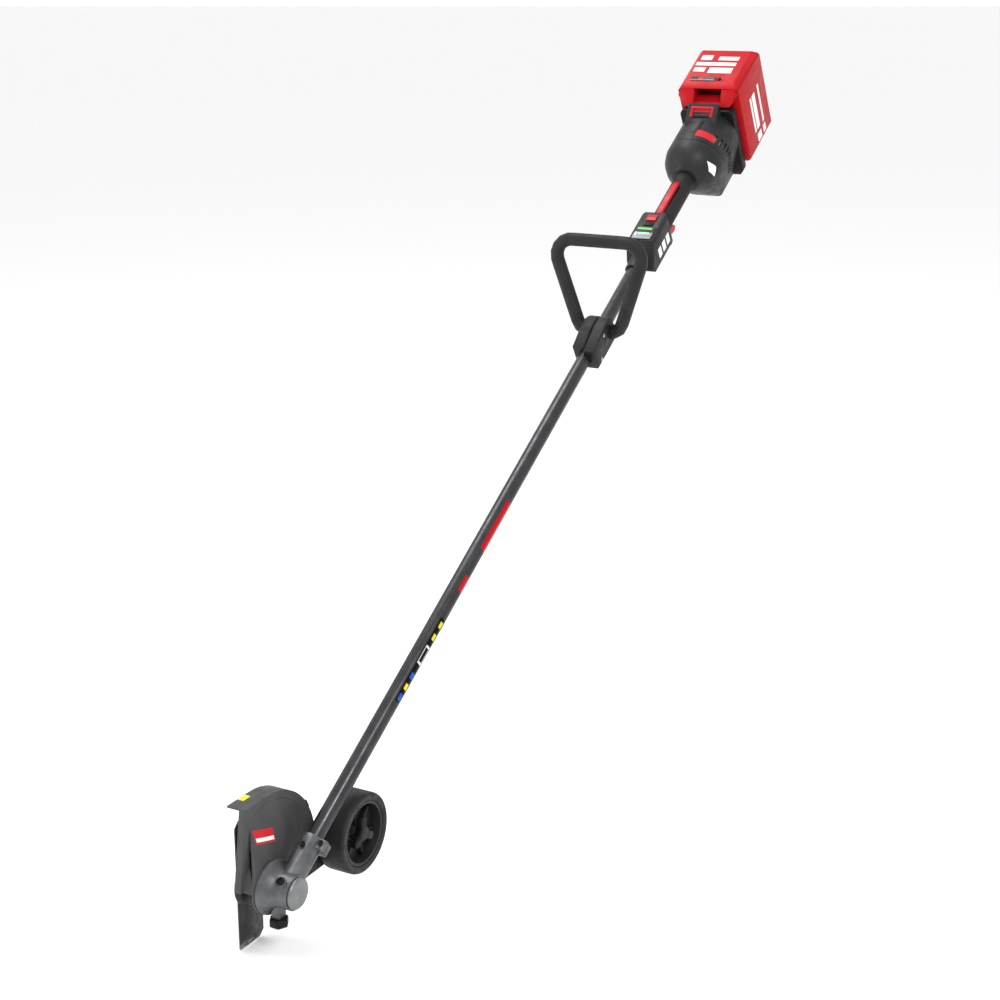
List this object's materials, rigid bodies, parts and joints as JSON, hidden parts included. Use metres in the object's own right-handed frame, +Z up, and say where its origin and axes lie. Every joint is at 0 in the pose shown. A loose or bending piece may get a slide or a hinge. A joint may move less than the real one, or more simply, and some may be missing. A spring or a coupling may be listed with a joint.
{
  "type": "lawn edger",
  "caption": "Battery lawn edger: long shaft with bevel-gear head, vertical blade, guard and side wheel, loop handle, rear controls, motor housing and lift-off battery.",
  "frame": {"origin": "on the shaft's axis inside the rear grip, where the rear hand holds it", "axes": "+X to the operator's right, along the blade spindle; +Y forward, away from the operator; +Z up, with the shaft rising to the rear at 32 degrees as in use"},
  "size_m": [0.1902, 1.7453, 1.2164],
  "materials": {
    "shaft_tube": "gunmetal anodised, satin",
    "shaft_bush_1": "moulded, plain",
    "shaft_bush_2": "moulded, plain",
    "gear_case": "die cast, blasted",
    "gear_case_end_cap": "die cast, blasted",
    "spindle_bearing_left": "ground",
    "spindle_bearing_right": "ground",
    "pinion_bearing": "ground",
    "sleeve_pinch_bolt": "black oxide",
    "sleeve_locating_screw": "black oxide",
    "guard_screw_1": "zinc plated",
    "guard_screw_2": "zinc plated",
    "blade_guard": "moulded, fine grain",
    "debris_flap": "moulded, matt",
    "flap_strip": "dark coating, satin",
    "arm_bolt_1": "zinc plated",
    "arm_bolt_2": "zinc plated",
    "wheel_arm": "moulded, satin",
    "control_housing_left": "moulded, fine grain",
    "control_housing_right": "moulded, fine grain",
    "display_panel": "gloss window",
    "trigger_pin": "zinc plated",
    "grip_left": "moulded, matt",
    "grip_right": "moulded, matt",
    "motor_front_cover": "moulded, fine grain",
    "motor_housing": "moulded, fine grain",
    "motor_bearing_front": "ground",
    "motor_bearing_rear": "ground",
    "stator": "copper-wound lamination",
    "controller_board": "printed board",
    "battery_dock": "moulded, satin",
    "support_foot": "moulded, matt",
    "spindle": "zinc plated",
    "bevel_gear": "machined",
    "blade_flange": "dark coating, satin",
    "blade": "dark coating, satin",
    "blade_nut": "zinc plated",
    "drive_shaft": "machined",
    "bevel_pinion": "machined",
    "rotor": "lacquered lamination",
    "cooling_fan": "moulded, plain",
    "wheel_axle": "zinc plated",
    "axle_nut": "zinc plated",
    "wheel_hub": "moulded, satin",
    "wheel_tyre": "moulded, matt",
    "wheel_knob": "moulded, satin",
    "guard_knob": "moulded, satin",
    "loop_handle": "sleeved tube, matt",
    "handle_clamp_left": "moulded, fine grain",
    "handle_clamp_right": "moulded, fine grain",
    "clamp_screw_1": "zinc plated",
    "clamp_screw_2": "zinc plated",
    "trigger": "moulded, satin",
    "lockout_lever": "moulded, satin",
    "power_button": "moulded, satin",
    "mode_button": "moulded, satin",
    "battery_case": "moulded, satin",
    "charge_indicator": "gloss window",
    "charge_button": "moulded, satin",
    "battery_latch": "moulded, satin"
  },
  "bodies": {
    "machine": {"shaft_tube": "shaft_tube", "shaft_bush_1": "shaft_bush_1", "shaft_bush_2": "shaft_bush_2", "gear_case": "gear_case", "gear_case_end_cap": "gear_case_end_cap", "spindle_bearing_left": "spindle_bearing_left", "spindle_bearing_right": "spindle_bearing_right", "pinion_bearing": "pinion_bearing", "sleeve_pinch_bolt": "sleeve_pinch_bolt", "sleeve_locating_screw": "sleeve_locating_screw", "guard_screw_1": "guard_screw_1", "guard_screw_2": "guard_screw_2", "blade_guard": "blade_guard", "debris_flap": "debris_flap", "flap_strip": "flap_strip", "arm_bolt_1": "arm_bolt_1", "arm_bolt_2": "arm_bolt_2", "wheel_arm": "wheel_arm", "control_housing_left": "control_housing_left", "control_housing_right": "control_housing_right", "display_panel": "display_panel", "trigger_pin": "trigger_pin", "grip_left": "grip_left", "grip_right": "grip_right", "motor_front_cover": "motor_front_cover", "motor_housing": "motor_housing", "motor_bearing_front": "motor_bearing_front", "motor_bearing_rear": "motor_bearing_rear", "stator": "stator", "controller_board": "controller_board", "battery_dock": "battery_dock", "support_foot": "support_foot"},
    "blade_drive": {"spindle": "spindle", "bevel_gear": "bevel_gear", "blade_flange": "blade_flange", "blade": "blade", "blade_nut": "blade_nut"},
    "drive_line": {"drive_shaft": "drive_shaft", "bevel_pinion": "bevel_pinion", "rotor": "rotor", "cooling_fan": "cooling_fan"},
    "wheel_carrier": {"wheel_axle": "wheel_axle", "axle_nut": "axle_nut"},
    "wheel": {"wheel_hub": "wheel_hub", "wheel_tyre": "wheel_tyre"},
    "wheel_knob": {"wheel_knob": "wheel_knob"},
    "guard_knob": {"guard_knob": "guard_knob"},
    "handle": {"loop_handle": "loop_handle", "handle_clamp_left": "handle_clamp_left", "handle_clamp_right": "handle_clamp_right", "clamp_screw_1": "clamp_screw_1", "clamp_screw_2": "clamp_screw_2"},
    "trigger": {"trigger": "trigger"},
    "lockout_lever": {"lockout_lever": "lockout_lever"},
    "power_button": {"power_button": "power_button"},
    "mode_button": {"mode_button": "mode_button"},
    "battery": {"battery_case": "battery_case", "charge_indicator": "charge_indicator"},
    "charge_button": {"charge_button": "charge_button"},
    "battery_latch": {"battery_latch": "battery_latch"}
  },
  "joints": [
    {"name": "blade_spin", "type": "hinge", "parent": "machine", "child": "blade_drive", "pos_m": [0, 1.32296, -0.82667], "axis": [1, 0, 0], "continuous": true},
    {"name": "drive_spin", "type": "hinge", "parent": "machine", "child": "drive_line", "pos_m": [0, 1.32296, -0.82667], "axis": [0, -0.848, 0.5299], "continuous": true},
    {"name": "wheel_height", "type": "slide", "parent": "machine", "child": "wheel_carrier", "axis": [0, 0, 1], "range_m": [-0.035, 0.009]},
    {"name": "wheel_spin", "type": "hinge", "parent": "wheel_carrier", "child": "wheel", "pos_m": [0.004, 1.13996, -0.81567], "axis": [1, 0, 0], "continuous": true},
    {"name": "wheel_knob_turn", "type": "hinge", "parent": "wheel_carrier", "child": "wheel_knob", "pos_m": [-0.013, 1.13996, -0.81567], "axis": [-1, 0, 0], "range_deg": [-180, 180]},
    {"name": "guard_knob_turn", "type": "hinge", "parent": "machine", "child": "guard_knob", "pos_m": [0.008, 1.32896, -0.86967], "axis": [0, 0, -1], "range_deg": [-90, 90]},
    {"name": "handle_slide", "type": "slide", "parent": "machine", "child": "handle", "axis": [0, -0.848, 0.5299], "range_m": [-0.06, 0.06]},
    {"name": "trigger_squeeze", "type": "hinge", "parent": "machine", "child": "trigger", "pos_m": [0, 0.04718, -0.0566], "axis": [-1, 0, 0], "range_deg": [0, 8], "stiffness_Nm_per_rad": 0.5, "springref_deg": -8.59},
    {"name": "lockout_press", "type": "hinge", "parent": "machine", "child": "lockout_lever", "pos_m": [0, -0.03313, 0.04134], "axis": [-1, 0, 0], "range_deg": [0, 1.8], "stiffness_Nm_per_rad": 1.5, "springref_deg": -2.86},
    {"name": "power_button_press", "type": "slide", "parent": "machine", "child": "power_button", "axis": [0, -0.5299, -0.848], "range_m": [0, 0.0015], "stiffness_N_per_m": 400, "springref_m": -0.002},
    {"name": "mode_button_press", "type": "slide", "parent": "machine", "child": "mode_button", "axis": [0, -0.5299, -0.848], "range_m": [0, 0.0015], "stiffness_N_per_m": 400, "springref_m": -0.002},
    {"name": "battery_lift", "type": "slide", "parent": "machine", "child": "battery", "axis": [0, 0.5299, 0.848], "range_m": [0, 0.14]},
    {"name": "charge_button_press", "type": "slide", "parent": "battery", "child": "charge_button", "axis": [0, -0.5299, -0.848], "range_m": [0, 0.0012], "stiffness_N_per_m": 400, "springref_m": -0.002},
    {"name": "latch_press", "type": "slide", "parent": "machine", "child": "battery_latch", "axis": [0, -0.8824, -0.4705], "range_m": [0, 0.0025], "stiffness_N_per_m": 400, "springref_m": -0.002}
  ],
  "couplings": [
    {"joint": "drive_spin", "follows": "blade_spin", "ratio": -1.6667}
  ]
}
